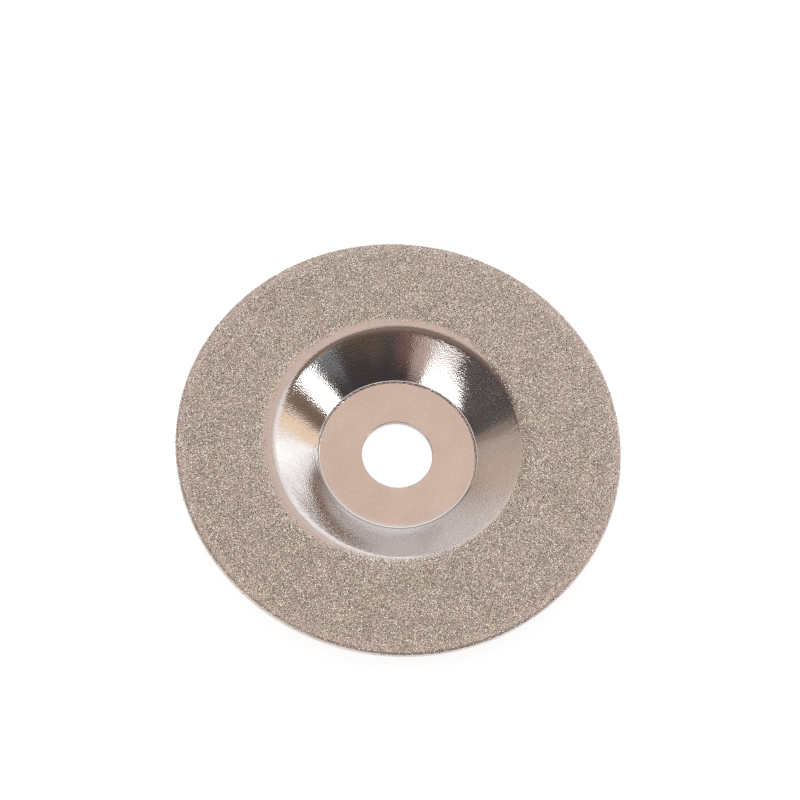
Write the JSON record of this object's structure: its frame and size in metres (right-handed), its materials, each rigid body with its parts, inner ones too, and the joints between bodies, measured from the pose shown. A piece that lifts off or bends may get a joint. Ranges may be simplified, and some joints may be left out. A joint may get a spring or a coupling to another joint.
{
  "type": "diamond grinding wheel",
  "caption": "Dished diamond grinding disc for a small angle grinder: pressed steel plate, nickel plated, with a flat ring of diamond grit and a sunk hub with a round bore.",
  "frame": {"origin": "centre of the bore at the hub's back face, which is the disc's lowest plane", "axes": "+Z along the bore's axis, out of the grinding face; +X and +Y lie in the plane of the disc"},
  "size_m": [0.1, 0.1, 0.0093],
  "materials": {
    "steel": "bare pressed sheet, sealed under the plating",
    "bright_nickel": "bright nickel with a faint orange peel",
    "bond_nickel": "satin nickel grown up round the grains",
    "diamond": "sharp grains, glassy facets, half sunk in nickel"
  },
  "bodies": {
    "root": {"steel_core": "steel", "nickel_plating": "bright_nickel", "nickel_bond": "bond_nickel", "diamond_grit": "diamond"}
  },
  "joints": []
}
